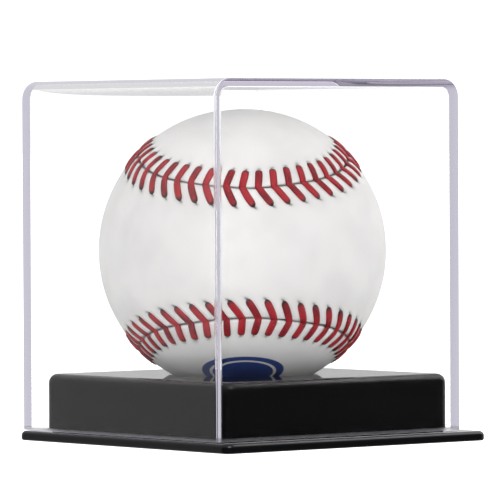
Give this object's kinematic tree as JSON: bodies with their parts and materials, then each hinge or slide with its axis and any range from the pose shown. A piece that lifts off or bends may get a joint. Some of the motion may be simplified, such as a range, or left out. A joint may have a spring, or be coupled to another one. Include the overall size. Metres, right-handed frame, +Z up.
{
  "type": "baseball display case",
  "caption": "Clear five-sided cover over a glossy black square riser on a plate, with a stitched white ball seated in the riser's round hole.",
  "frame": {"origin": "centre of the plate's underside, which is the bottom centre of the whole case", "axes": "+Z up out of the base, -Y and -X towards the two faces seen from the front corner; the cover lifts off along +Z"},
  "size_m": [0.0874, 0.0874, 0.094],
  "materials": {
    "gloss_black": "polished moulded black plastic",
    "clear_acrylic": "clear polished acrylic",
    "white_leather": "smooth white cowhide",
    "red_thread": "waxed red cotton thread",
    "cork": "ground cork",
    "black_rubber": "moulded black rubber",
    "red_rubber": "moulded red rubber",
    "grey_wool": "wound grey wool",
    "white_yarn": "wound white yarn"
  },
  "bodies": {
    "base": {"base_plate": "gloss_black", "riser": "gloss_black"},
    "cover": {"clear_cover": "clear_acrylic"},
    "ball": {"cork_centre": "cork", "rubber_cup_upper": "black_rubber", "rubber_cup_lower": "black_rubber", "rubber_washer": "red_rubber", "rubber_jacket": "red_rubber", "first_winding": "grey_wool", "second_winding": "white_yarn", "third_winding": "grey_wool", "finish_winding": "white_yarn", "leather_panel_a": "white_leather", "leather_panel_b": "white_leather", "seam_thread": "red_thread"}
  },
  "joints": [
    {"name": "cover_lift", "type": "slide", "parent": "base", "child": "cover", "axis": [0, 0, 1], "range_m": [0, 0.1]},
    {"name": "ball_turn", "type": "hinge", "parent": "base", "child": "ball", "pos_m": [-0.0016, 0.00135, 0.04962], "axis": [0, 0, 1], "continuous": true}
  ]
}
